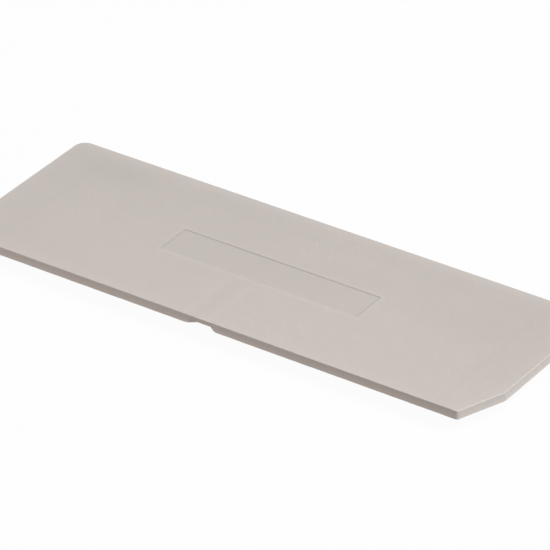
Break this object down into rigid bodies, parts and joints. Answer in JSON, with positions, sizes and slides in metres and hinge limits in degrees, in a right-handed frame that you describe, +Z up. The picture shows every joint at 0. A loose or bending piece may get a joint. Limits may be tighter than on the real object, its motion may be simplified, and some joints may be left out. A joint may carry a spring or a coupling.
{
  "type": "terminal block end cover",
  "caption": "Thin flat moulded plate with slanted front corners and locating pegs, which closes the open side of the last terminal block in a rail-mounted row.",
  "frame": {"origin": "under the middle of the plate, at the level of the peg tips that it lies on", "axes": "+Z up through the outer face, +X along the plate, +Y from the notched front side to the back side"},
  "size_m": [0.0946, 0.032, 0.0038],
  "materials": {
    "housing_plastic": "fine matt moulded surface, warm light grey"
  },
  "bodies": {
    "root": {"end_cover": "housing_plastic"}
  },
  "joints": []
}
